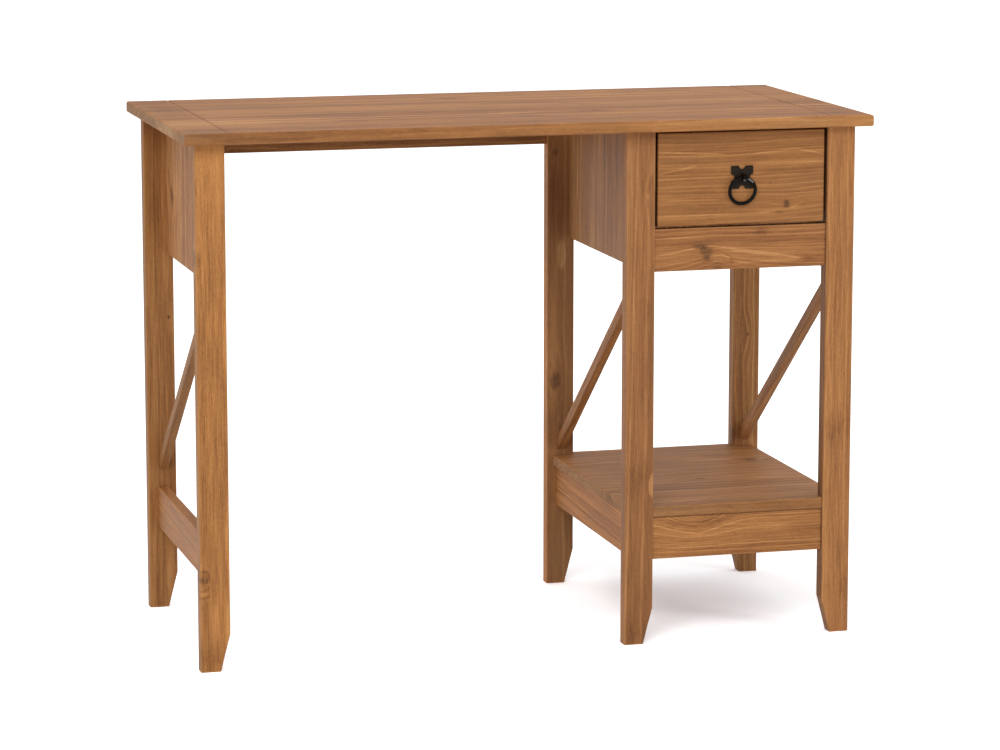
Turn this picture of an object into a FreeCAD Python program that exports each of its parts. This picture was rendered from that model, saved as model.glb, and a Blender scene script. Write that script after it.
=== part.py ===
import FreeCAD, Part
import math
import os

# Kneehole desk in pine: a long top on three leg frames, with a drawer over an open shelf at the right.
# Lengths are in millimetres. X runs along the desk, -Y faces the sitter and +Z is up.
# The origin is on the floor, under the middle of the top.

# Top
desk_height = 740.0
top_length = 970.0
top_depth = 460.0
top_thickness = 16.0
top_upper_radius = 3.0
top_lower_radius = 3.0
groove_inset = 60.0
groove_width = 3.0
groove_depth = 1.5

# Leg frames
leg_width = 41.0
leg_depth = 21.0
leg_edge_radius = 1.5
foot_taper = 13.5
foot_taper_height = 52.0
side_overhang = 17.6
front_overhang = 25.0
rear_overhang = 14.0
bay_width = 250.6

# Panels at the top of the frames
panel_thickness = 8.0
panel_height = 203.0
bay_panel_height = 200.5
panel_rebate = 10.0
panel_edge_radius = 1.0
back_panel_thickness = 6.0
back_panel_inset = 2.5
back_panel_tongue = 8.0

# Rails and their tenons
rail_thickness = 15.0
rail_height = 60.5
rail_recess = 3.0
rail_edge_radius = 1.5
lower_rail_lift = 120.6
lower_rail_height = 59.4
side_rail_inset = 13.5
drawer_rail_drop = 137.2
drawer_rail_height = 59.7
back_rail_inset = 2.0
tenon_thickness = 6.0
tenon_shoulder = 10.0
tenon_inset = 4.0
side_tenon_length = 11.0
cross_tenon_length = 14.0

# Braces
brace_thickness = 12.5
brace_width = 16.0
brace_foot_height = 205.0
brace_edge_radius = 1.0
brace_dowel_radius = 2.5
brace_dowel_depth = 9.0

# Shelf
shelf_thickness = 16.0
shelf_reveal = 9.0
shelf_recess = 1.5
shelf_edge_radius = 2.0
shelf_dowel_radius = 4.0
shelf_dowel_depth = 11.0
shelf_dowel_share = 0.35

# Cleats that hold the top
cleat_width = 15.0
cleat_height = 15.0
cleat_end_gap = 39.5
cleat_top_screw_share = 0.4
cleat_side_screw_share = 0.25

# Drawer box
drawer_recess = 2.0
drawer_front_thickness = 18.0
drawer_front_radius = 1.5
drawer_side_gap = 3.8
drawer_lower_gap = 3.2
drawer_upper_gap = 4.5
drawer_side_thickness = 12.0
drawer_side_height = 110.0
drawer_side_lift = 6.0
drawer_rear_gap = 15.0
drawer_side_radius = 2.0
drawer_back_thickness = 12.0
drawer_back_drop = 6.0
drawer_back_inset = 10.0
drawer_back_housing = 4.0
drawer_bottom_thickness = 5.0
drawer_bottom_lift = 7.0
drawer_bottom_groove = 5.0

# Dovetails at the drawer's front corners
tail_count = 3
tail_length = 12.0
tail_flare = 2.1
tail_root_share = 0.55

# Runners
runner_height = 18.0
runner_rear_gap = 9.7
runner_groove_depth = 7.0
runner_screw_share = 0.38

# Screws
screw_radius = 1.6
screw_head_radius = 3.2
screw_head_depth = 1.8
screw_tip_length = 3.0
screw_tip_radius = 0.3
cleat_top_screw_length = 25.0
cleat_side_screw_length = 20.0
runner_screw_length = 15.0
bottom_screw_length = 18.0
bottom_screw_share = 0.35

# Ring handle
handle_shift = 0.6
handle_rise = 0.9
plate_size = 32.0
plate_thickness = 2.0
plate_notch_radius = 4.6
plate_bevel = 0.6
eye_half_thickness = 1.5
eye_half_width = 2.3
eye_offset = 7.0
eye_neck_radius = 1.9
eye_collar_radius = 4.5
eye_collar_thickness = 1.2
shank_radius = 2.5
shank_end = 1.5
washer_radius = 6.0
washer_thickness = 1.2
nut_across_flats = 8.0
nut_thickness = 4.0
ring_mean_radius = 18.5
ring_wire_radius = 2.5
ring_shift = -0.8

# The ring rests leaning in towards the drawer, in degrees
ring_lean = 9.0

# Clearances
mortise_gap = 0.15
panel_gap = 0.2
shelf_gap = 0.3
dowel_gap = 0.1
screw_gap = 0.1
tail_gap = 0.1
housing_gap = 0.1
runner_gap = 0.3
runner_face_gap = 1.0
runner_stop_gap = 0.3
shank_gap = 0.2
nut_gap = 0.05
ring_gap = 0.5

# How far a cutter runs past the face that it cuts
overrun = 1.0

# Edges this near to parallel count as running the same way
parallel_share = 0.999

# Flat sides that stand for a small round form
dowel_sides = 12
screw_sides = 8
shank_sides = 16
nut_sides = 6
ring_wire_sides = 12
ring_segments = 32
eye_wire_sides = 10
eye_segments = 20

# Places that several pieces share
leg_height = desk_height - top_thickness
front_face = front_overhang - top_depth / 2
front_back = front_face + leg_depth
rear_back = top_depth / 2 - rear_overhang
rear_front = rear_back - leg_depth
frame_middle = (front_back + rear_front) / 2
left_outer = side_overhang - top_length / 2
right_outer = -left_outer
inner_outer = right_outer - bay_width - 2 * leg_width
bay_left = inner_outer + leg_width
bay_right = bay_left + bay_width
panel_bottom = leg_height - panel_height
bay_panel_z = (leg_height - bay_panel_height, leg_height)
panel_z = {"left": (panel_bottom, leg_height), "inner": bay_panel_z, "right": bay_panel_z}
lower_rail_z = (lower_rail_lift, lower_rail_lift + lower_rail_height)
drawer_rail_top = leg_height - drawer_rail_drop
side_rail_inner = side_rail_inset + rail_thickness
shelf_z = (lower_rail_z[1], lower_rail_z[1] + shelf_thickness)

# Each frame's outer face, and the way in from it along X
frames = {"left": (left_outer, 1), "inner": (inner_outer, 1), "right": (right_outer, -1)}
rows = {"front": (front_face, front_back), "rear": (rear_front, rear_back)}

x_axis = FreeCAD.Vector(1, 0, 0)
y_axis = FreeCAD.Vector(0, 1, 0)
z_axis = FreeCAD.Vector(0, 0, 1)
pieces = {}


def across(frame, start, end):
    """X span of what lies between two distances in from a frame's outer face."""
    outer, inward = frames[frame]
    return outer + inward * start, outer + inward * end


def grown(span, gap):
    low, high = sorted(span)
    return low - gap, high + gap


def middle(span):
    return (span[0] + span[1]) / 2


def block(x_span, y_span, z_span):
    corners = [sorted(span) for span in (x_span, y_span, z_span)]
    sizes = [high - low for low, high in corners]
    return Part.makeBox(*sizes, FreeCAD.Vector(*[low for low, high in corners]))


def prism(points, direction):
    outline = Part.makePolygon(points + points[:1])
    return Part.Face(outline).extrude(direction)


def eased_along(solid, direction, radius):
    """Round the edges that run one way."""
    edges = []
    for edge in solid.Edges:
        run = edge.tangentAt(edge.FirstParameter)
        if abs(run.dot(direction)) > parallel_share:
            edges.append(edge)
    return solid.makeFillet(radius, edges)


def edges_at_height(solid, height):
    return [edge for edge in solid.Edges if edge.BoundBox.ZMin > height - overrun / 2
            and edge.BoundBox.ZMax < height + overrun / 2]


def joined(first, *others):
    return first.fuse(list(others)).removeSplitter()


def cut_by(solid, cutters):
    """Cut away only those cutters that reach the solid."""
    near = [cutter for cutter in cutters if solid.BoundBox.intersect(cutter.BoundBox)]
    return solid.cut(near) if near else solid


def side_ways(direction):
    """Two directions square to a given one and to each other."""
    first = z_axis if abs(direction.z) < parallel_share else x_axis
    return first, direction.cross(first)


def faceted(sections, closed=False):
    """Solid with flat faces through rings of points, with end faces or closed into a loop."""
    following = sections[1:] + sections[:1] if closed else sections[1:]
    faces = []
    for here, there in zip(sections, following):
        for number, point in enumerate(here):
            after = (number + 1) % len(here)
            corners = [point, here[after], there[after], there[number], point]
            faces.append(Part.Face(Part.makePolygon(corners)))
    if not closed:
        for end in (sections[0], sections[-1]):
            faces.append(Part.Face(Part.makePolygon(end + end[:1])))
    solid = Part.makeSolid(Part.makeShell(faces))
    return solid if solid.Volume > 0 else solid.reversed()


def turned(start, direction, stations, sides):
    """Straight faceted form: each station is a distance along it and the radius there."""
    first, second = side_ways(direction)
    sections = []
    for distance, radius in stations:
        centre = start + direction * distance
        turns = [2 * math.pi * number / sides for number in range(sides)]
        sections.append([centre + first * (radius * math.cos(turn)) + second * (radius * math.sin(turn))
                         for turn in turns])
    return faceted(sections)


def rod(start, direction, length, radius, sides):
    return turned(start, direction, [(0, radius), (length, radius)], sides)


def wire_ring(centre, axis, mean_radius, half_thickness, half_width, wire_sides, segments):
    """Ring of round or oval wire, in short straight segments; its width is along the axis."""
    first, second = side_ways(axis)
    sections = []
    for number in range(segments):
        turn = 2 * math.pi * number / segments
        outward = first * math.cos(turn) + second * math.sin(turn)
        rolls = [2 * math.pi * (side + 1 / 2) / wire_sides for side in range(wire_sides)]
        sections.append([centre + outward * (mean_radius + half_thickness * math.cos(roll))
                         + axis * (half_width * math.sin(roll)) for roll in rolls])
    return faceted(sections, closed=True)


def screw(head, direction, length, gap=0.0):
    """Countersunk screw with its head flush at a point; a gap makes the hole for it."""
    stations = [(0, screw_head_radius + gap), (screw_head_depth, screw_radius + gap),
                (length - screw_tip_length, screw_radius + gap), (length + gap, screw_tip_radius + gap)]
    return turned(head, direction, stations, screw_sides)


def screw_set(places, length):
    """Screws, and the holes that they sit in, from a list of heads and directions."""
    screws = [screw(head, direction, length) for head, direction in places]
    holes = [screw(head, direction, length, screw_gap) for head, direction in places]
    return screws, holes


# Tenons run through a rail as one bar, and the same bar with its gap cuts the two mortises
tenon_y = {
    "front": (front_face + tenon_inset, front_face + tenon_inset + tenon_thickness),
    "rear": (rear_back - tenon_inset - tenon_thickness, rear_back - tenon_inset),
}
bay_x = (bay_left, bay_right)
front_rail_y = (front_face + rail_recess, front_face + rail_recess + rail_thickness)
rear_rail_y = (rear_back - rail_thickness, rear_back)
back_rail_back = rear_back - back_rail_inset
cross_rails = {
    "back_rail": ("rear", (left_outer + leg_width, inner_outer),
                  (back_rail_back - rail_thickness, back_rail_back),
                  (leg_height - rail_height, leg_height)),
    "drawer_rail": ("front", bay_x, front_rail_y, (drawer_rail_top - drawer_rail_height, drawer_rail_top)),
    "shelf_front_rail": ("front", bay_x, front_rail_y, lower_rail_z),
    "shelf_back_rail": ("rear", bay_x, rear_rail_y, lower_rail_z),
}


def cross_tenon(row, x_span, z_span, gap=0.0):
    return block(grown(x_span, cross_tenon_length + gap), grown(tenon_y[row], gap),
                 grown(z_span, gap - tenon_shoulder))


def side_rail_x(frame):
    return across(frame, side_rail_inset, side_rail_inner)


def side_tenon(frame, gap=0.0):
    half = tenon_thickness / 2
    centre = middle(side_rail_x(frame))
    return block(grown((centre - half, centre + half), gap),
                 grown((front_back, rear_front), side_tenon_length + gap),
                 grown(lower_rail_z, gap - tenon_shoulder))


mortises = [cross_tenon(row, x_span, z_span, mortise_gap)
            for row, x_span, y_span, z_span in cross_rails.values()]
mortises += [side_tenon(frame, mortise_gap) for frame in frames]

for name, (row, x_span, y_span, z_span) in cross_rails.items():
    rail = eased_along(block(x_span, y_span, z_span), x_axis, rail_edge_radius)
    pieces[name] = joined(rail, cross_tenon(row, x_span, z_span))

for frame in frames:
    rail = eased_along(block(side_rail_x(frame), (front_back, rear_front), lower_rail_z),
                       y_axis, rail_edge_radius)
    pieces[frame + "_lower_rail"] = joined(rail, side_tenon(frame))


# Panels lie flush with the frames' inner faces, in rebates in the legs
def panel_room(frame, gap):
    return block(across(frame, leg_width - panel_thickness, leg_width),
                 grown((front_back, rear_front), panel_rebate - gap), panel_z[frame])


back_panel_back = rear_back - back_panel_inset


def back_panel_room(gap):
    return block(grown(bay_x, back_panel_tongue - gap),
                 (back_panel_back - back_panel_thickness, back_panel_back), bay_panel_z)


rebates = [panel_room(frame, 0.0) for frame in frames] + [back_panel_room(0.0)]


# Braces slope from under the panel at the front leg down to the rear leg
brace_span = rear_front - front_back
brace_rise = panel_bottom - brace_foot_height
slim = (brace_width / brace_span) ** 2
half_slope = slim * brace_rise
brace_end = (math.sqrt(half_slope ** 2 + (1 - slim) * (brace_width ** 2 + slim * brace_rise ** 2))
             - half_slope) / (1 - slim)
brace_slope = (brace_rise - brace_end) / brace_span
brace_x = (side_rail_inner - brace_thickness, side_rail_inner)


def brace(frame):
    start, end = across(frame, *brace_x)
    points = [
        FreeCAD.Vector(start, front_back, panel_bottom),
        FreeCAD.Vector(start, front_back, panel_bottom - brace_end),
        FreeCAD.Vector(start, rear_front, brace_foot_height),
        FreeCAD.Vector(start, rear_front, brace_foot_height + brace_end),
    ]
    run = FreeCAD.Vector(0, brace_span, -brace_slope * brace_span).normalize()
    return eased_along(prism(points, x_axis * (end - start)), run, brace_edge_radius)


def brace_dowel(frame, at_rear, gap=0.0):
    """Level dowel, half in the leg and half along the middle of the brace's end."""
    face = rear_front if at_rear else front_back
    reach = brace_dowel_depth / 2
    centre = panel_bottom - brace_end / 2
    drop = brace_slope * (brace_span - reach if at_rear else reach)
    start = FreeCAD.Vector(middle(across(frame, *brace_x)), face - brace_dowel_depth - gap, centre - drop)
    return rod(start, y_axis, 2 * (brace_dowel_depth + gap), brace_dowel_radius + gap, dowel_sides)


brace_ends = [(frame, at_rear) for frame in frames for at_rear in (False, True)]
brace_holes = [brace_dowel(frame, at_rear, dowel_gap) for frame, at_rear in brace_ends]
pieces["brace_dowels"] = Part.makeCompound([brace_dowel(*end) for end in brace_ends])
for frame in frames:
    pieces[frame + "_brace"] = cut_by(brace(frame), brace_holes)


# Legs
def leg(frame, row):
    outer, inward = frames[frame]
    front = rows[row][0]
    outline = [(0, 0), (leg_width - foot_taper, 0), (leg_width, foot_taper_height),
               (leg_width, leg_height), (0, leg_height)]
    points = [FreeCAD.Vector(outer + inward * inset, front, height) for inset, height in outline]
    blank = prism(points, y_axis * leg_depth)
    long_edges = [edge for edge in blank.Edges if edge.BoundBox.ZLength > overrun]
    shaped = blank.makeFillet(leg_edge_radius, long_edges)
    return cut_by(shaped, mortises + rebates + brace_holes)


for frame in frames:
    for row in rows:
        pieces[frame + "_" + row + "_leg"] = leg(frame, row)


# Shelf, notched around the legs of the pedestal and resting on four rails
def shelf_blank():
    between_sides = block(grown(bay_x, -shelf_gap), (front_face + shelf_recess, rear_back), shelf_z)
    between_rows = block((inner_outer + shelf_reveal, right_outer - shelf_reveal),
                         grown((front_back, rear_front), -shelf_gap), shelf_z)
    blank = joined(between_sides, between_rows)
    level_edges = edges_at_height(blank, shelf_z[0]) + edges_at_height(blank, shelf_z[1])
    open_edges = [edge for edge in level_edges if edge.Length > leg_width + overrun]
    return blank.makeFillet(shelf_edge_radius, open_edges)


shelf_dowel_places = []
for share in (-shelf_dowel_share, shelf_dowel_share):
    for frame in ("inner", "right"):
        shelf_dowel_places.append((middle(side_rail_x(frame)), frame_middle + share * brace_span))
    for rail_y in (front_rail_y, rear_rail_y):
        shelf_dowel_places.append((middle(bay_x) + share * bay_width, middle(rail_y)))


def shelf_dowel(x, y, gap=0.0):
    start = FreeCAD.Vector(x, y, shelf_z[0] - shelf_dowel_depth - gap)
    return rod(start, z_axis, 2 * (shelf_dowel_depth + gap), shelf_dowel_radius + gap, dowel_sides)


shelf_holes = [shelf_dowel(x, y, dowel_gap) for x, y in shelf_dowel_places]
pieces["shelf_dowels"] = Part.makeCompound([shelf_dowel(x, y) for x, y in shelf_dowel_places])
pieces["shelf"] = cut_by(shelf_blank(), shelf_holes)
for name in ("inner_lower_rail", "right_lower_rail", "shelf_front_rail", "shelf_back_rail"):
    pieces[name] = cut_by(pieces[name], shelf_holes)


# Cleats, screwed to the panels from inside and up into the top
cleat_z = (leg_height - cleat_height, leg_height)
cleat_y = (front_back + cleat_end_gap, rear_front - cleat_end_gap)
cleat_length = cleat_y[1] - cleat_y[0]
cleat_top_places = []
cleat_side_places = []
for frame, (outer, inward) in frames.items():
    cleat_x = across(frame, leg_width, leg_width + cleat_width)
    for sign in (-1, 1):
        y = frame_middle + sign * cleat_top_screw_share * cleat_length
        cleat_top_places.append((FreeCAD.Vector(middle(cleat_x), y, cleat_z[0]), z_axis))
        y = frame_middle + sign * cleat_side_screw_share * cleat_length
        cleat_side_places.append((FreeCAD.Vector(cleat_x[1], y, middle(cleat_z)), x_axis * -inward))
cleat_top_screws, cleat_top_holes = screw_set(cleat_top_places, cleat_top_screw_length)
cleat_side_screws, cleat_side_holes = screw_set(cleat_side_places, cleat_side_screw_length)
cleat_holes = cleat_top_holes + cleat_side_holes
pieces["cleat_screws"] = Part.makeCompound(cleat_top_screws + cleat_side_screws)
for frame in frames:
    cleat = block(across(frame, leg_width, leg_width + cleat_width), cleat_y, cleat_z)
    pieces[frame + "_cleat"] = cut_by(cleat, cleat_holes)


# Top, with a routed groove across each end
def top_panel():
    x_span = (-top_length / 2, top_length / 2)
    y_span = (-top_depth / 2, top_depth / 2)
    slab = block(x_span, y_span, (leg_height, desk_height))
    slab = slab.makeFillet(top_upper_radius, edges_at_height(slab, desk_height))
    slab = slab.makeFillet(top_lower_radius, edges_at_height(slab, leg_height))
    cutters = []
    for sign in (-1, 1):
        x = sign * (top_length / 2 - groove_inset)
        start = -top_depth / 2 - overrun
        points = [FreeCAD.Vector(x - groove_width / 2, start, desk_height),
                  FreeCAD.Vector(x + groove_width / 2, start, desk_height),
                  FreeCAD.Vector(x, start, desk_height - groove_depth)]
        cutters.append(prism(points, y_axis * (top_depth + 2 * overrun)))
    return cut_by(slab, cutters + cleat_top_holes)


pieces["top_panel"] = top_panel()


# Drawer: the front fills the bay, and the sides are dovetailed into its back
drawer_x = grown(bay_x, -drawer_side_gap)
drawer_front_y = (front_face + drawer_recess, front_face + drawer_recess + drawer_front_thickness)
drawer_front_z = (drawer_rail_top + drawer_lower_gap, leg_height - drawer_upper_gap)
side_z = (drawer_front_z[0] + drawer_side_lift, drawer_front_z[0] + drawer_side_lift + drawer_side_height)
side_y = (drawer_front_y[1], rear_front - drawer_rear_gap)
drawer_sides = {"left": (drawer_x[0], 1), "right": (drawer_x[1], -1)}
back_end = side_y[1] - drawer_back_inset
drawer_back_y = (back_end - drawer_back_thickness, back_end)
bottom_z = (side_z[0] + drawer_bottom_lift, side_z[0] + drawer_bottom_lift + drawer_bottom_thickness)
drawer_inner_x = grown(drawer_x, -drawer_side_thickness)
runner_middle = middle(side_z)


def tails(side, gap=0.0):
    """Dovetails on a drawer side's front end; a gap makes the sockets for them."""
    outer, inward = drawer_sides[side]
    pitch = drawer_side_height / tail_count
    half_root = pitch * tail_root_share / 2 + gap
    half_tip = half_root + tail_flare
    root = drawer_front_y[1]
    tip = root - tail_length - gap
    width = inward * (drawer_side_thickness + gap)
    shapes = []
    for number in range(tail_count):
        z = side_z[0] + (number + 1 / 2) * pitch
        points = [FreeCAD.Vector(outer, root, z - half_root), FreeCAD.Vector(outer, root, z + half_root),
                  FreeCAD.Vector(outer, tip, z + half_tip), FreeCAD.Vector(outer, tip, z - half_tip)]
        shapes.append(prism(points, x_axis * width))
    return shapes


def bottom_room(gap):
    return block(grown(drawer_inner_x, drawer_bottom_groove + gap),
                 (drawer_front_y[1] - drawer_bottom_groove - gap, side_y[1] + gap), grown(bottom_z, gap))


def back_room(gap):
    return block(grown(drawer_inner_x, drawer_back_housing + gap), grown(drawer_back_y, gap),
                 (bottom_z[1], side_z[1] + gap))


def drawer_side(side):
    outer, inward = drawer_sides[side]
    board = block((outer, outer + inward * drawer_side_thickness), side_y, side_z)
    upper = [edge for edge in edges_at_height(board, side_z[1])
             if edge.Length > drawer_side_thickness + overrun]
    board = joined(board.makeFillet(drawer_side_radius, upper), *tails(side))
    runner_groove = block((outer - inward * overrun, outer + inward * runner_groove_depth),
                          (side_y[0], side_y[1] + overrun),
                          (runner_middle - runner_height / 2 - runner_gap,
                           runner_middle + runner_height / 2 + runner_gap))
    return board.cut([runner_groove, bottom_room(housing_gap), back_room(housing_gap)])


bottom_screw_places = []
for share in (-bottom_screw_share, 0, bottom_screw_share):
    x = middle(drawer_x) + share * bay_width
    bottom_screw_places.append((FreeCAD.Vector(x, middle(drawer_back_y), bottom_z[0]), z_axis))
bottom_screws, bottom_holes = screw_set(bottom_screw_places, bottom_screw_length)
pieces["drawer_bottom_screws"] = Part.makeCompound(bottom_screws)
for side in drawer_sides:
    pieces["drawer_" + side + "_side"] = drawer_side(side)
back_z = (bottom_z[1], side_z[1] - drawer_back_drop)
drawer_back = block(grown(drawer_inner_x, drawer_back_housing), drawer_back_y, back_z)
pieces["drawer_back"] = cut_by(drawer_back, bottom_holes)
drawer_bottom = block(grown(drawer_inner_x, drawer_bottom_groove),
                      (drawer_front_y[1] - drawer_bottom_groove, drawer_back_y[1]), bottom_z)
pieces["drawer_bottom"] = cut_by(drawer_bottom, bottom_holes)


# Runners on the panels, in the grooves of the drawer's sides; their front ends stop the drawer
runner_thickness = drawer_side_gap + runner_groove_depth - runner_face_gap
runner_y = (drawer_front_y[1] + runner_stop_gap, rear_front - runner_rear_gap)
runner_length = runner_y[1] - runner_y[0]
runner_z = (runner_middle - runner_height / 2, runner_middle + runner_height / 2)
runner_spans = {"left": (bay_left, bay_left + runner_thickness),
                "right": (bay_right, bay_right - runner_thickness)}
runner_screw_places = []
for side, (root, face) in runner_spans.items():
    for share in (-runner_screw_share, 0, runner_screw_share):
        head = FreeCAD.Vector(face, middle(runner_y) + share * runner_length, runner_middle)
        runner_screw_places.append((head, FreeCAD.Vector(root - face, 0, 0).normalize()))
runner_screws, runner_holes = screw_set(runner_screw_places, runner_screw_length)
pieces["runner_screws"] = Part.makeCompound(runner_screws)
for side, span in runner_spans.items():
    pieces["drawer_" + side + "_runner"] = cut_by(block(span, runner_y, runner_z), runner_holes)

for frame in frames:
    panel = eased_along(panel_room(frame, panel_gap), y_axis, panel_edge_radius)
    pieces[frame + "_side_panel"] = cut_by(panel, cleat_side_holes + runner_holes)
pieces["back_panel"] = back_panel_room(panel_gap)


# Ring handle: plate, eye through the drawer front with its nut, and a ring that hangs in the eye
handle_x = middle(drawer_x) + handle_shift
handle_z = middle(drawer_front_z) + handle_rise
plate_front = drawer_front_y[0] - plate_thickness
eye_y = plate_front - eye_offset
eye_hole_radius = ring_wire_radius + ring_gap
eye_mean_radius = eye_hole_radius + eye_half_thickness
eye_centre = FreeCAD.Vector(handle_x, eye_y, handle_z)


def on_handle(y):
    return FreeCAD.Vector(handle_x, y, handle_z)


def through(start, end, radius):
    """Round solid on the handle's axis, from one depth to another."""
    return rod(on_handle(start), y_axis, end - start, radius, shank_sides)


def handle_backplate():
    half = plate_size / 2
    plate = block((handle_x - half, handle_x + half), (plate_front, drawer_front_y[0]),
                  (handle_z - half, handle_z + half))
    notches = []
    for along, up in ((-half, 0), (half, 0), (0, -half), (0, half)):
        start = on_handle(plate_front - overrun) + FreeCAD.Vector(along, 0, up)
        notches.append(Part.makeCylinder(plate_notch_radius, plate_thickness + 2 * overrun, start, y_axis))
    plate = plate.cut(notches)
    rim = [edge for edge in plate.Edges if edge.BoundBox.YMax < plate_front + plate_thickness / 2]
    plate = plate.makeChamfer(plate_bevel, rim)
    return plate.cut(through(plate_front - overrun, drawer_front_y[0] + overrun, shank_radius + shank_gap))


def handle_eye():
    loop = wire_ring(eye_centre, x_axis, eye_mean_radius, eye_half_thickness, eye_half_width,
                     eye_wire_sides, eye_segments)
    neck = through(eye_y + eye_mean_radius, plate_front, eye_neck_radius)
    collar = through(plate_front - eye_collar_thickness, plate_front, eye_collar_radius)
    shank_tip = drawer_front_y[1] + washer_thickness + nut_thickness + shank_end
    shank = through(plate_front, shank_tip, shank_radius)
    return joined(loop, neck, collar, shank)


def handle_nut():
    start = drawer_front_y[1] + washer_thickness
    corner_radius = nut_across_flats / 2 / math.cos(math.pi / nut_sides)
    hexagon = rod(on_handle(start), y_axis, nut_thickness, corner_radius, nut_sides)
    return hexagon.cut(through(start - overrun, start + nut_thickness + overrun, shank_radius + nut_gap))


washer_y = (drawer_front_y[1], drawer_front_y[1] + washer_thickness)
washer_hole = through(washer_y[0] - overrun, washer_y[1] + overrun, shank_radius + shank_gap)
pieces["handle_backplate"] = handle_backplate()
pieces["handle_eye"] = handle_eye()
pieces["handle_washer"] = through(washer_y[0], washer_y[1], washer_radius).cut(washer_hole)
pieces["handle_nut"] = handle_nut()
ring_centre = eye_centre + x_axis * ring_shift - z_axis * ring_mean_radius
handle_ring = wire_ring(ring_centre, y_axis, ring_mean_radius, ring_wire_radius, ring_wire_radius,
                        ring_wire_sides, ring_segments)
pieces["handle_ring"] = handle_ring.rotate(eye_centre, x_axis, ring_lean)


def drawer_front():
    board = block(drawer_x, drawer_front_y, drawer_front_z)
    rim = [edge for edge in board.Edges
           if edge.BoundBox.YMax < drawer_front_y[0] + drawer_front_thickness / 2]
    board = board.makeFillet(drawer_front_radius, rim)
    sockets = tails("left", tail_gap) + tails("right", tail_gap)
    shank_hole = through(drawer_front_y[0] - overrun, drawer_front_y[1] + overrun, shank_radius + shank_gap)
    return board.cut(sockets + [bottom_room(housing_gap), shank_hole])


pieces["drawer_front"] = drawer_front()

os.makedirs("parts", exist_ok=True)
for name, shape in pieces.items():
    shape.exportStep("parts/" + name + ".step")
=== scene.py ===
import bpy
import math
from mathutils import Matrix, Vector


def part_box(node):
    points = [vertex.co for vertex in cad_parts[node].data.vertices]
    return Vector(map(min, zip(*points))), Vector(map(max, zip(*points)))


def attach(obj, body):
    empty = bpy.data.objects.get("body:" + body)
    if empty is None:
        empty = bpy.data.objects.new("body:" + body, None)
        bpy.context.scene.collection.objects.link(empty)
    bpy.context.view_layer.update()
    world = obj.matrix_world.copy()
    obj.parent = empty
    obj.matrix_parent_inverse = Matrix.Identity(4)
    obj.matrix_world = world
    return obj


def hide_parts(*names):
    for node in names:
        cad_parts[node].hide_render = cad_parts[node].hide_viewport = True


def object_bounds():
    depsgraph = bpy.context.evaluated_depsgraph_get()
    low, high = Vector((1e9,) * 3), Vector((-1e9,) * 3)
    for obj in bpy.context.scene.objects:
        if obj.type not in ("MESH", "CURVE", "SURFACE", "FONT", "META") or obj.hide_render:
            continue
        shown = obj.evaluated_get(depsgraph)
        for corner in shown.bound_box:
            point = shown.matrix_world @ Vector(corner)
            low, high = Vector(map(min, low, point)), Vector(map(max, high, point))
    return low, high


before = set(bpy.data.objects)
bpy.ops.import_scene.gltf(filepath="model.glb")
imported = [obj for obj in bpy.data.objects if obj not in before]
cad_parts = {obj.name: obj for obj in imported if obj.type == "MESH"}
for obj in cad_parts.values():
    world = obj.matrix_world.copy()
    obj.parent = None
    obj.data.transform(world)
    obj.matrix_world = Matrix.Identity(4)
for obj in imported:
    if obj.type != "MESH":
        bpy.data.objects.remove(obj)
cad_low, cad_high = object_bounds()

# Kneehole desk in stained and waxed pine, with a black iron ring handle. Lengths are in metres.

# Colours of the wood, from where stain soaks in most to where it hardly takes
stained_pine = ((0.13, 0.053, 0.019, 1), (0.235, 0.098, 0.034, 1), (0.345, 0.15, 0.051, 1),
                (0.455, 0.21, 0.073, 1), (0.585, 0.305, 0.12, 1))
bare_pine = ((0.27, 0.13, 0.055, 1), (0.43, 0.235, 0.11, 1), (0.56, 0.34, 0.17, 1),
             (0.64, 0.42, 0.23, 1), (0.7, 0.49, 0.29, 1))
raw_beech = ((0.33, 0.19, 0.1, 1), (0.48, 0.3, 0.17, 1), (0.58, 0.39, 0.23, 1),
             (0.64, 0.45, 0.28, 1), (0.69, 0.51, 0.33, 1))
plain = (1.0, 1.0, 1.0)
smoke_grey = (0.205, 0.125, 0.07, 1)
knot_smoke = (0.11, 0.07, 0.036, 1)
joint_dark = (0.12, 0.05, 0.02, 1)
# Dark stain lapped onto the drawer's tails, as dark as the painted gap shade on the drawer front's ends
lapped_stain_and_gap_shade = (0.15, 0.066, 0.026, 1)
rubbed_edge = (0.5, 0.24, 0.088, 1)

# Colours of the fittings, from dark to light, and of the floor's glow
iron_charcoal = ((0.01, 0.007, 0.005, 1), (0.019, 0.013, 0.009, 1), (0.036, 0.025, 0.017, 1))
iron_black = ((0.002, 0.001, 0.001, 1), (0.004, 0.003, 0.002, 1), (0.009, 0.006, 0.004, 1))
# Pale colour of the painted highlights on the ring and the eye
painted_glint_colour = (0.23, 0.215, 0.195, 1)
zinc_yellow = ((0.3, 0.22, 0.1, 1), (0.46, 0.36, 0.18, 1), (0.55, 0.47, 0.28, 1))
floor_glow = (0.62, 0.79, 1, 1)

# Surfaces of the fittings: pitches per metre, and how strongly they show
iron_blows = (230.0, 230.0)
iron_speckle = (1700.0, 1700.0)
iron_speckle_share = 0.6
iron_roughness = 0.3
iron_roughness_shares = (0.15, 0.12)
iron_gloss = 0.06
iron_bump_share = 0.3
iron_bump = (0.25, 0.0005)
zinc_clouds = (320.0, 320.0, 3.0)
zinc_brush = (3000.0, 900.0, 1.0)
zinc_roughness = 0.38
zinc_brush_share = 0.3
zinc_bump = (0.2, 0.0002)

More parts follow.
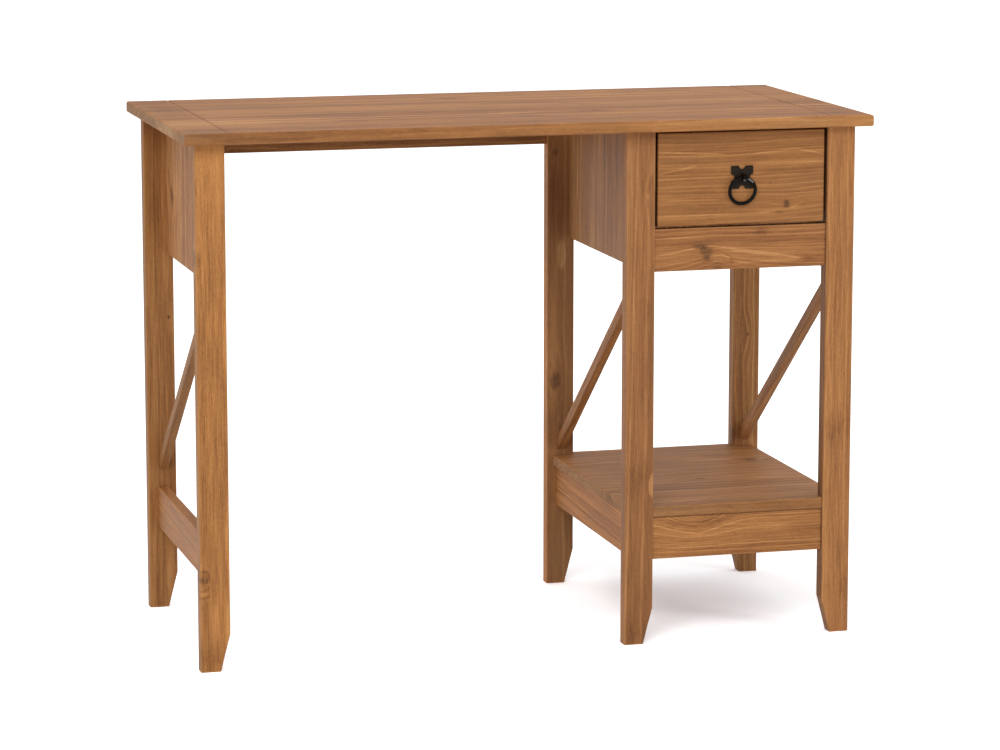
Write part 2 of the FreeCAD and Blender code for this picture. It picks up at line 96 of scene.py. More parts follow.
# Textures of sawn wood: pitch per metre along the grain and across it, then detail
textures = {"sway": (2.4, 9.0, 1.0), "depth": (5.0, 17.0, 1.0), "drift": (0.4, 38.0, 1.0),
            "wobble": (11.0, 140.0, 2.0), "clouds": (8.0, 24.0, 3.0), "smoke": (4.5, 17.0, 3.0),
            "fibre": (17.0, 430.0, 3.0), "pores": (55.0, 1100.0, 1.0), "ragged": (90.0, 190.0, 2.0),
            "speckle": (230.0, 620.0, 1.0)}
seed_steps = (7.3, 3.1, 5.7)
band_run = 1.3

# How strongly each texture shows in the stain, and in the roughness of the wax
stain_shares = {"clouds": 0.4, "fibre": 0.78, "pores": -0.16, "speckle": 0.3, "ragged": 0.14,
                "smoke": 0.3}
wax_roughness = 0.58
wax_shares = {"fibre": 0.16, "pale_line": -0.07, "clouds": 0.1, "end_grain": 0.12}
middle_tone = 0.5
pore_edge = (0.1, 0.24)
smoke_edge = (0.04, 0.3)
grain_bump = (0.25, 0.0004)
line_bump_share = 0.5
pore_bump_share = -0.6

# Growth rings: lines rise and fall within one ring's width, counted from 0 to 1
sway_across = 4
sway_through = 2
ring_drift = 3.0
ring_wobble = 0.45
faintest_line = 0.12
line_power = 2.5
late_wood_rise = (0.52, 0.84)
late_wood_end = (1.0, 0.9)
dark_line_fall = (0.4, 0.0)
tone_rise = (0.0, 0.2)
dark_line_share = -0.4

# Knots, patches, lenses, streaks and strokes: edges are in their own half sizes
knot_ragged = 1.1
knot_core = (1.3, 0.4)
knot_halo = (2.8, 0.7)
halo_share = -0.22
swirl_pitch = 15.0
swirl_share = 0.06
darkest_knot = 0.8
patch_ragged = 0.9
lens_edge = (1.3, 0.6)
streak_wander = 0.006
stroke_ragged = 0.4
stroke_start = (-0.12, 0.12)
stroke_end = (1.12, 0.88)

# Faces, edges and ends of a board, and joints between boards
side_fineness = 0.7
face_turn = (0.3, 0.6)
side_turn = (0.6, 0.3)
end_turn = (0.8, 0.95)
end_share = 0.85
rubbed_band = (0.0026, 0.0006)
rubbed_ragged = 0.005
joint_line = (0.0018, 0.0002)
joint_line_share = 0.4
joint_tone_share = 0.34
ply_line_shares = (0.62, 0.38)
ply_dark_share = 0.6

# Ring handle
eye_middle = Vector((0.3017, -0.212, 0.65565))
eye_radius = 0.0045
eye_thickness = 0.003
eye_width = 0.0046
strap_rounding = 0.0011
neck_overlap = 0.0006
neck_root = 0.0021
neck_waist = 0.0019
collar_height = 0.0016
collar_step = 0.0004
collar_shoulder = 0.004
collar_radius = 0.0045
shank_radius = 0.0025
shank_end = -0.1783
shank_chamfer = 0.0006
shank_tip = 0.002
shank_play = 0.0001
plate_face = -0.205
plate_back = -0.203
plate_size = 0.032
plate_hole = 0.0027
plate_voxel = 0.00032
plate_blow = 0.005
plate_blow_depth = 0.0002
notch_radius = 0.0046
ring_radius = 0.0185
ring_wire = 0.0025
ring_lean = math.radians(9.0)
ring_shift = -0.0008
ring_blow = 0.006
ring_blow_depth = 0.00022
ring_down = Vector((0, math.sin(ring_lean), -math.cos(ring_lean)))
ring_ahead = Vector((0, -math.cos(ring_lean), -math.sin(ring_lean)))
ring_centre = eye_middle + Vector((ring_shift, 0, 0)) + ring_down * ring_radius
# Painted highlights on the ring's upper right and on the eye's lower part, where the lamps' glints fall
painted_glint_turns = [math.radians(degrees) for degrees in (44, 51, 58, 65)]
painted_glint_reach = (0.0011, 0.0016, 0.0011)
painted_eye_glint = Vector((-0.0006, -0.0045, -0.003))
painted_eye_glint_reach = (0.0016, 0.0024, 0.0008)

# Nut and washer of the handle
nut_chamfer_share = 0.6
nut_edge = 0.00012
washer_rounding = 0.0004
washer_corner_share = 0.3
cut_overrun = 0.001
cutter_length = 0.02
weld_distance = 0.00001

# Wood screws
screw_head = 0.0032
screw_head_edge = 0.0001
screw_head_depth = 0.0018
screw_shank = 0.0016
screw_core = 0.0011
screw_pitch = 0.0016
screw_tip = 0.003
screw_point = 0.0003
thread_start_share = 0.4
thread_shares = (0.15, 0.6, 0.95)
recess_length = 0.0038
recess_width = 0.001
recess_depth = 0.0019
recess_proud = 0.0002
recess_foot_share = 0.4
cleat_screw_up = 0.025
cleat_screw_aside = 0.02
cleat_up_share = 0.4
cleat_aside_share = 0.25
runner_screw = 0.015
runner_shares = (-0.38, 0, 0.38)
bottom_screw = 0.018

# Floor, lamps (place, size and power) and camera
floor_size = 44
floor_roughness = 0.9
floor_white = 0.95
floor_seen_lift = 0.8
floor_glow_strength = 0.14
world_strength = 0.7
lamps = {"key": ((-1.9, -3.7, 3.3), 2.4, 92.0), "fill": ((3.0, -3.0, 2.0), 0.5, 18.0)}
camera_place = (-1.3796, -5.1452, 1.2801)
camera_turn = (math.radians(80.168), 0, math.radians(-15.107))
camera_lens = 136.1
camera_sensor = 36.0


class Finish:
    """One material, and short calls that add its nodes."""

    def __init__(self, name):
        self.material = bpy.data.materials.new(name)
        self.material.use_nodes = True
        self.tree = self.material.node_tree
        self.surface = self.tree.nodes["Principled BSDF"]

    def node(self, kind, inputs=(), **settings):
        """New node with its settings, and a value or a link for each of its inputs."""
        made = self.tree.nodes.new(kind)
        for setting, value in settings.items():
            setattr(made, setting, value)
        for socket, value in dict(inputs).items():
            self.feed(made.inputs[socket], value)
        return made

    def feed(self, socket, value):
        if isinstance(value, bpy.types.NodeSocket):
            self.tree.links.new(value, socket)
        else:
            socket.default_value = value

    def give(self, socket, value):
        self.feed(self.surface.inputs[socket], value)

    def maths(self, operation, *values):
        return self.node("ShaderNodeMath", enumerate(values), operation=operation).outputs[0]

    def times(self, value, amount):
        return self.maths("MULTIPLY", value, amount)

    def minus(self, value, amount):
        return self.maths("SUBTRACT", value, amount)

    def plus(self, *values):
        """Sum of values. A pair is a value and the share of it that counts."""
        counted = [self.times(*value) if isinstance(value, tuple) else value for value in values]
        total = counted[0]
        for value in counted[1:]:
            total = self.maths("ADD", total, value)
        return total

    def square(self, value):
        return self.times(value, value)

    def apart(self, vector):
        return self.node("ShaderNodeSeparateXYZ", {0: vector}).outputs

    def noise(self, place, along, across, detail=2.0):
        """Cloudy value from -1/2 to 1/2, with a pitch per metre along the grain and across it."""
        pitches = {0: place, 1: (along, across, across)}
        pitch = self.node("ShaderNodeVectorMath", pitches, operation="MULTIPLY")
        made = self.node("ShaderNodeTexNoise", {"Vector": pitch.outputs[0], "Scale": 1.0, "Detail": detail})
        return self.minus(made.outputs["Fac"], 0.5)

    def chances(self, value):
        """Three chance numbers that stay the same through each whole step of a value."""
        step = self.maths("FLOOR", value)
        made = self.node("ShaderNodeTexWhiteNoise", {"W": step}, noise_dimensions="1D")
        return self.apart(made.outputs["Color"])

    def fade(self, value, start, end):
        """From 0 at the start to 1 at the end, smoothly."""
        made = self.node("ShaderNodeMapRange", {"Value": value, "From Min": start, "From Max": end},
                         interpolation_type="SMOOTHSTEP")
        return made.outputs["Result"]

    def bell(self, *squares):
        """1 where the sum of squares is 0, falling away smoothly."""
        return self.maths("EXPONENT", self.times(self.plus(*squares), -1.0))

    def blend(self, share, first, second, way="MIX"):
        """Two colours mixed by a share. The node takes them at its inputs 6 and 7."""
        made = self.node("ShaderNodeMix", {0: share, 6: first, 7: second}, data_type="RGBA", blend_type=way)
        return made.outputs[2]

    def tinted(self, colour, tint):
        return self.blend(1.0, colour, (*tint, 1), "MULTIPLY")

    def colours(self, value, stops):
        """Colours spread evenly from 0 to 1."""
        made = self.node("ShaderNodeValToRGB", {0: value})
        ramp = made.color_ramp
        while len(ramp.elements) < len(stops):
            ramp.elements.new(0.5)
        for number, colour in enumerate(stops):
            ramp.elements[number].position = number / (len(stops) - 1)
            ramp.elements[number].color = colour
        return made.outputs[0]

    def bump(self, height, strength, distance):
        made = self.node("ShaderNodeBump", {"Height": height, "Strength": strength, "Distance": distance})
        self.give("Normal", made.outputs[0])


def board(way, heart, spacing, tone=plain, **more):
    """How a board was sawn. The way is along the grain, across the face, then through the board.

    The heart is where the tree's middle lies, across and through, from the board's own middle.
    Patches and lenses have a place along and across, and two half sizes. Strokes run from one place
    to another, streaks lie at a distance across with a lean, and rim lines of painted shade at a depth:
    each has a half width. The last number of every mark is how much lighter the wood is there; some
    marks paint shade and some paint light, as noted at the boards.
    """
    wood = {"way": way, "heart": heart, "spacing": spacing, "tone": tone, "turn": 0.0, "lean": 0.0,
            "sway": 0.006, "lines": 0.32, "tones": 0.3, "bands": 0.45, "band_pitch": 48.0, "fine": 1.0,
            "knots": (), "patches": (), "lenses": (), "streaks": (), "strokes": (), "rims": (),
            "stain": stained_pine, "gloss": 0.14, "rubbed": 0.26, "ends": (0.66, 0.67, 0.74),
            "sides": None, "dipped": None, "joints": None, "ply": None}
    wood.update(more)
    return wood


def knot(along, across, radius, stretch=1.6, dark=0.45, lift=0.008, spread=(0.03, 0.012), crown=False):
    """A knot at a place on the board's face, and how far it pushes the grain lines aside."""
    return {"along": along, "across": across, "radius": radius, "stretch": stretch, "dark": dark,
            "lift": lift, "spread": spread, "crown": crown}


def grain_place(coat, wood):
    """Distances along the grain, across the face and through the board, and which way a face looks."""
    coordinates = coat.node("ShaderNodeTexCoord")
    place = coordinates.outputs["Object"]
    if wood["turn"]:
        turn = {"Vector": place, "Rotation": (wood["turn"], 0, 0)}
        place = coat.node("ShaderNodeMapping", turn).outputs[0]
    places = coat.apart(place)
    facing = coat.apart(coordinates.outputs["Normal"])
    axes = ["xyz".index(letter) for letter in wood["way"]]
    return [places[axis] for axis in axes], [coat.maths("ABSOLUTE", facing[axis]) for axis in axes]


def edge_distance(coat, node):
    """How far a point of a board is from its nearest edge."""
    places = coat.apart(coat.node("ShaderNodeTexCoord").outputs["Object"])
    gaps = []
    for axis, (low, high) in enumerate(zip(*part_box(node))):
        offset = coat.maths("ABSOLUTE", coat.minus(places[axis], (low + high) / 2))
        gaps.append(coat.minus((high - low) / 2, offset))
    nearer = coat.maths("MINIMUM", gaps[0], gaps[1])
    farther = coat.maths("MAXIMUM", gaps[0], gaps[1])
    return coat.maths("MAXIMUM", nearer, coat.maths("MINIMUM", farther, gaps[2]))


def offsets(coat, distances, along, across, half_length, half_height):
    """Steps from a place on the board's face, counted in half lengths and half heights."""
    return (coat.times(coat.minus(distances[0], along), 1 / half_length),
            coat.times(coat.minus(distances[1], across), 1 / half_height))


def add_knots(coat, distances, wood, ragged, radius):
    """Push the growth rings aside at each knot, and darken the knot and the wood round it."""
    shade, smoke = 0.0, 0.0
    for mark in wood["knots"]:
        steps = offsets(coat, distances, mark["along"], mark["across"], *mark["spread"])
        run = coat.maths("ABSOLUTE", steps[0]) if mark["crown"] else coat.square(steps[0])
        push = coat.bell(run, coat.square(steps[1]))
        radius = coat.plus(radius, (push, mark["lift"]))
        steps = offsets(coat, distances, mark["along"], mark["across"],
                        mark["radius"] * mark["stretch"], mark["radius"])
        reach = coat.maths("SQRT", coat.plus(coat.square(steps[0]), coat.square(steps[1])))
        reach = coat.plus(reach, (ragged, knot_ragged))
        swirl = coat.times(coat.maths("SINE", coat.times(reach, swirl_pitch)), swirl_share)
        core = coat.fade(reach, *knot_core)
        halo = coat.times(coat.fade(reach, *knot_halo), halo_share * mark["dark"])
        shade = coat.plus((core, coat.plus(swirl, -mark["dark"])), halo, shade)
        smoke = coat.plus((core, max(mark["dark"], 0.0)), smoke)
    return radius, shade, smoke


def stroke(coat, distances, start, end, half_width, ragged):
    """One grain line from a start to an end on the board's face, soft at both ends."""
    run, rise = end[0] - start[0], end[1] - start[1]
    length = math.hypot(run, rise)
    steps = coat.minus(distances[0], start[0]), coat.minus(distances[1], start[1])
    share = coat.plus((steps[0], run / length ** 2), (steps[1], rise / length ** 2))
    aside = coat.plus((steps[0], rise / length), (steps[1], -run / length),
                      (ragged, stroke_ragged * half_width))
    line = coat.bell(coat.square(coat.times(aside, 1 / half_width)))
    ends = coat.times(coat.fade(share, *stroke_start), coat.fade(share, *stroke_end))
    return coat.times(line, ends)


def add_marks(coat, distances, wood, ragged, slow):
    """Soft patches, clear lenses, streaks and short strokes of the grain, and rim lines of painted shade
    along an edge. Some patches and strokes are painted shade, and a few painted light.
    """
    marks = []
    for shape in ("patches", "lenses"):
        for along, across, half_length, half_height, light in wood[shape]:
            steps = offsets(coat, distances, along, across, half_length, half_height)
            reach = coat.plus(coat.square(steps[0]), coat.square(steps[1]), (ragged, patch_ragged))
            share = coat.bell(reach) if shape == "patches" else coat.fade(reach, *lens_edge)
            marks.append((share, light))
    for across, lean, half_width, light in wood["streaks"]:
        wandering = coat.plus(distances[1], (distances[0], -lean), (slow, streak_wander))
        step = coat.times(coat.minus(wandering, across), 1 / half_width)
        marks.append((coat.bell(coat.square(step)), light))
    for start, end, half_width, light in wood["strokes"]:
        marks.append((stroke(coat, distances, start, end, half_width, ragged), light))
    # Rim lines of painted shade along an edge
    for depth, half_width, light in wood["rims"]:
        step = coat.times(coat.minus(distances[2], depth), 1 / half_width)
        marks.append((coat.bell(coat.square(step)), light))
    return coat.plus(0.0, *marks)


def heart_distance(coat, distances, seen, node, wood):
    """How far a point lies from the heart of the tree that the board was sawn from."""
    low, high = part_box(node)
    centre = Matrix.Rotation(wood["turn"], 3, "X") @ ((low + high) / 2)
    along, across, through = [centre["xyz".index(letter)] for letter in wood["way"]]
    aside = coat.plus(distances[1], (distances[0], wood["lean"]),
                      (seen["sway"], sway_across * wood["sway"]),
                      -across - wood["lean"] * along - wood["heart"][0])
    deep = coat.plus(distances[2], (seen["depth"], sway_through * wood["sway"]),
                     -through - wood["heart"][1])
    return coat.maths("SQRT", coat.plus(coat.square(aside), coat.square(deep)))


def growth_rings(coat, seen, radius, spacing):
    """Pale and dark lines of the growth rings, and a tone of each ring's own."""
    rings = coat.plus((radius, 1 / spacing), (seen["drift"], ring_drift), (seen["wobble"], ring_wobble))
    ring = coat.maths("FRACT", rings)
    chances = coat.chances(rings)
    strength = coat.plus(faintest_line, coat.maths("POWER", chances[0], line_power))
    late_wood = coat.times(coat.fade(ring, *late_wood_rise), coat.fade(ring, *late_wood_end))
    pale_line = coat.times(late_wood, strength)
    dark_line = coat.times(coat.fade(ring, *dark_line_fall), strength)
    ring_tone = coat.times(coat.minus(chances[1], 0.5), coat.fade(ring, *tone_rise))
    return pale_line, dark_line, ring_tone


def glued_boards(coat, distances, colour, joints):
    """Boards glued edge to edge: each a little lighter or darker, with a fine dark line between."""
    first, width = joints
    counted = coat.times(coat.minus(distances[1], first), 1 / width)
    chance = coat.chances(counted)[0]
    lighter = coat.blend(coat.times(chance, joint_tone_share), colour, rubbed_edge)
    within = coat.maths("FRACT", counted)
    to_joint = coat.times(coat.maths("MINIMUM", within, coat.minus(1.0, within)), width)
    line = coat.times(coat.fade(to_joint, *joint_line), joint_line_share)
    return coat.blend(line, lighter, joint_dark)


def ply_edges(coat, distances, facing, colour, thickness):
    """Thin layers that show along the cut edges of plywood."""
    layer = coat.maths("PINGPONG", distances[2], thickness)
    dark = coat.fade(layer, *[share * thickness for share in ply_line_shares])
    layered = coat.blend(coat.times(dark, ply_dark_share), colour, smoke_grey)
    return coat.blend(coat.fade(facing[2], *side_turn), colour, layered)


def sawn_and_rubbed(coat, node, distances, facing, seen, end_grain, colour, wood):
    """Glue joints, sawn sides and ends, rubbed edges and dipped ends of a board. On some boards the side
    and end tints and the dipped ends are painted shade, and the end tints of the top and shelf are partly a
    painted sheen, as noted at the boards.
    """
    if wood["joints"]:
        colour = glued_boards(coat, distances, colour, wood["joints"])
    if wood["ply"]:
        colour = ply_edges(coat, distances, facing, colour, wood["ply"])
    if wood["sides"]:
        dark_side = coat.tinted(colour, wood["sides"])
        colour = coat.blend(coat.fade(facing[2], *side_turn), colour, dark_side)
    colour = coat.blend(coat.times(end_grain, end_share), colour, coat.tinted(colour, wood["ends"]))
    if not wood["turn"]:
        rubbed = coat.plus(edge_distance(coat, node), (seen["ragged"], rubbed_ragged))
        rubbed = coat.times(coat.fade(rubbed, *rubbed_band), wood["rubbed"])
        colour = coat.blend(rubbed, colour, rubbed_edge)
    # Front ends of the drawer sides: partly lapped stain, partly painted shade of the gap beside the drawer
    if wood["dipped"]:
        colour = coat.blend(coat.fade(distances[0], *wood["dipped"]), lapped_stain_and_gap_shade, colour)
    return colour


def pine(name, node, wood, seed):
    """Sawn wood: growth rings round the tree's heart, pushed aside by knots, under stain and wax."""
    coat = Finish(name)
    distances, facing = grain_place(coat, wood)
    shifted = [coat.plus(distance, seed * step) for distance, step in zip(distances, seed_steps)]
    place = coat.node("ShaderNodeCombineXYZ", enumerate(shifted)).outputs[0]
    seen = {texture: coat.noise(place, *pitches) for texture, pitches in textures.items()}
    seen["pores"] = coat.fade(seen["pores"], *pore_edge)
    bands = coat.noise(place, band_run, wood["band_pitch"])
    end_grain = coat.fade(facing[0], *end_turn)

    radius = heart_distance(coat, distances, seen, node, wood)
    radius, knot_shade, knot_dark = add_knots(coat, distances, wood, seen["ragged"], radius)
    pale_line, dark_line, ring_tone = growth_rings(coat, seen, radius, wood["spacing"])
    marks = add_marks(coat, distances, wood, seen["ragged"], seen["sway"])

    def shown(texture):
        return coat.times(seen[texture], stain_shares[texture])

    fine = coat.plus(shown("fibre"), shown("pores"), shown("speckle"))
    on_face = coat.fade(facing[2], *face_turn)
    fineness = coat.plus(side_fineness, (on_face, wood["fine"] - side_fineness))
    lightness = coat.plus(middle_tone, (bands, wood["bands"]), shown("clouds"), (fine, fineness),
                          shown("ragged"), (ring_tone, wood["tones"]), (pale_line, wood["lines"]),
                          (dark_line, dark_line_share * wood["lines"]), knot_shade, marks)
    colour = coat.colours(lightness, wood["stain"])
    seen["smoke"] = coat.fade(seen["smoke"], *smoke_edge)
    colour = coat.blend(shown("smoke"), colour, smoke_grey)
    if wood["knots"]:
        colour = coat.blend(coat.maths("MINIMUM", knot_dark, darkest_knot), colour, knot_smoke)
    colour = coat.tinted(colour, wood["tone"])
    colour = sawn_and_rubbed(coat, node, distances, facing, seen, end_grain, colour, wood)
    coat.give("Base Color", colour)

    seen.update(pale_line=pale_line, end_grain=end_grain)
    waxed = [(seen[texture], share) for texture, share in wax_shares.items()]
    coat.give("Roughness", coat.plus(wax_roughness, *waxed))
    coat.give("Specular IOR Level", wood["gloss"])
    coat.bump(coat.plus((pale_line, line_bump_share), seen["fibre"],
                        (seen["pores"], pore_bump_share), knot_shade), *grain_bump)
    return coat.material


def black_iron(name, colours, painted_glints):
    """Blackened iron, with painted highlights at a few spots where the lamps' glints fall. Each spot has a
    place and its reach.
    """
    coat = Finish(name)
    place = coat.node("ShaderNodeTexCoord").outputs["Object"]
    hammered = coat.noise(place, *iron_blows)
    speckle = coat.noise(place, *iron_speckle)
    lightness = coat.plus(middle_tone, hammered, (speckle, iron_speckle_share))
    colour = coat.colours(lightness, colours)
    # Painted highlights: the colour turns pale at each spot
    rubbed = 0.0
    for spot, reach in painted_glints:
        steps = coat.apart(place)
        squares = [coat.square(coat.times(coat.minus(step, middle), 1 / half))
                   for step, middle, half in zip(steps, spot, reach)]
        rubbed = coat.plus(coat.bell(*squares), rubbed)
    if painted_glints:
        colour = coat.blend(coat.maths("MINIMUM", rubbed, 1.0), colour, painted_glint_colour)
    coat.give("Base Color", colour)
    coat.give("Roughness", coat.plus(iron_roughness, (hammered, iron_roughness_shares[0]),
                                     (speckle, iron_roughness_shares[1])))
    coat.give("Specular IOR Level", iron_gloss)
    coat.bump(coat.plus(hammered, (speckle, iron_bump_share)), *iron_bump)
    return coat.material


def zinc_steel():
    """Yellow zinc on steel, brushed one way."""
    coat = Finish("zinc_steel")
    place = coat.node("ShaderNodeTexCoord").outputs["Object"]
    clouds = coat.noise(place, *zinc_clouds)
    brushed = coat.noise(place, *zinc_brush)
    coat.give("Base Color", coat.colours(coat.plus(middle_tone, clouds), zinc_yellow))
    coat.give("Metallic", 1.0)
    coat.give("Roughness", coat.plus(zinc_roughness, (brushed, zinc_brush_share)))
    coat.bump(brushed, *zinc_bump)
    return coat.material


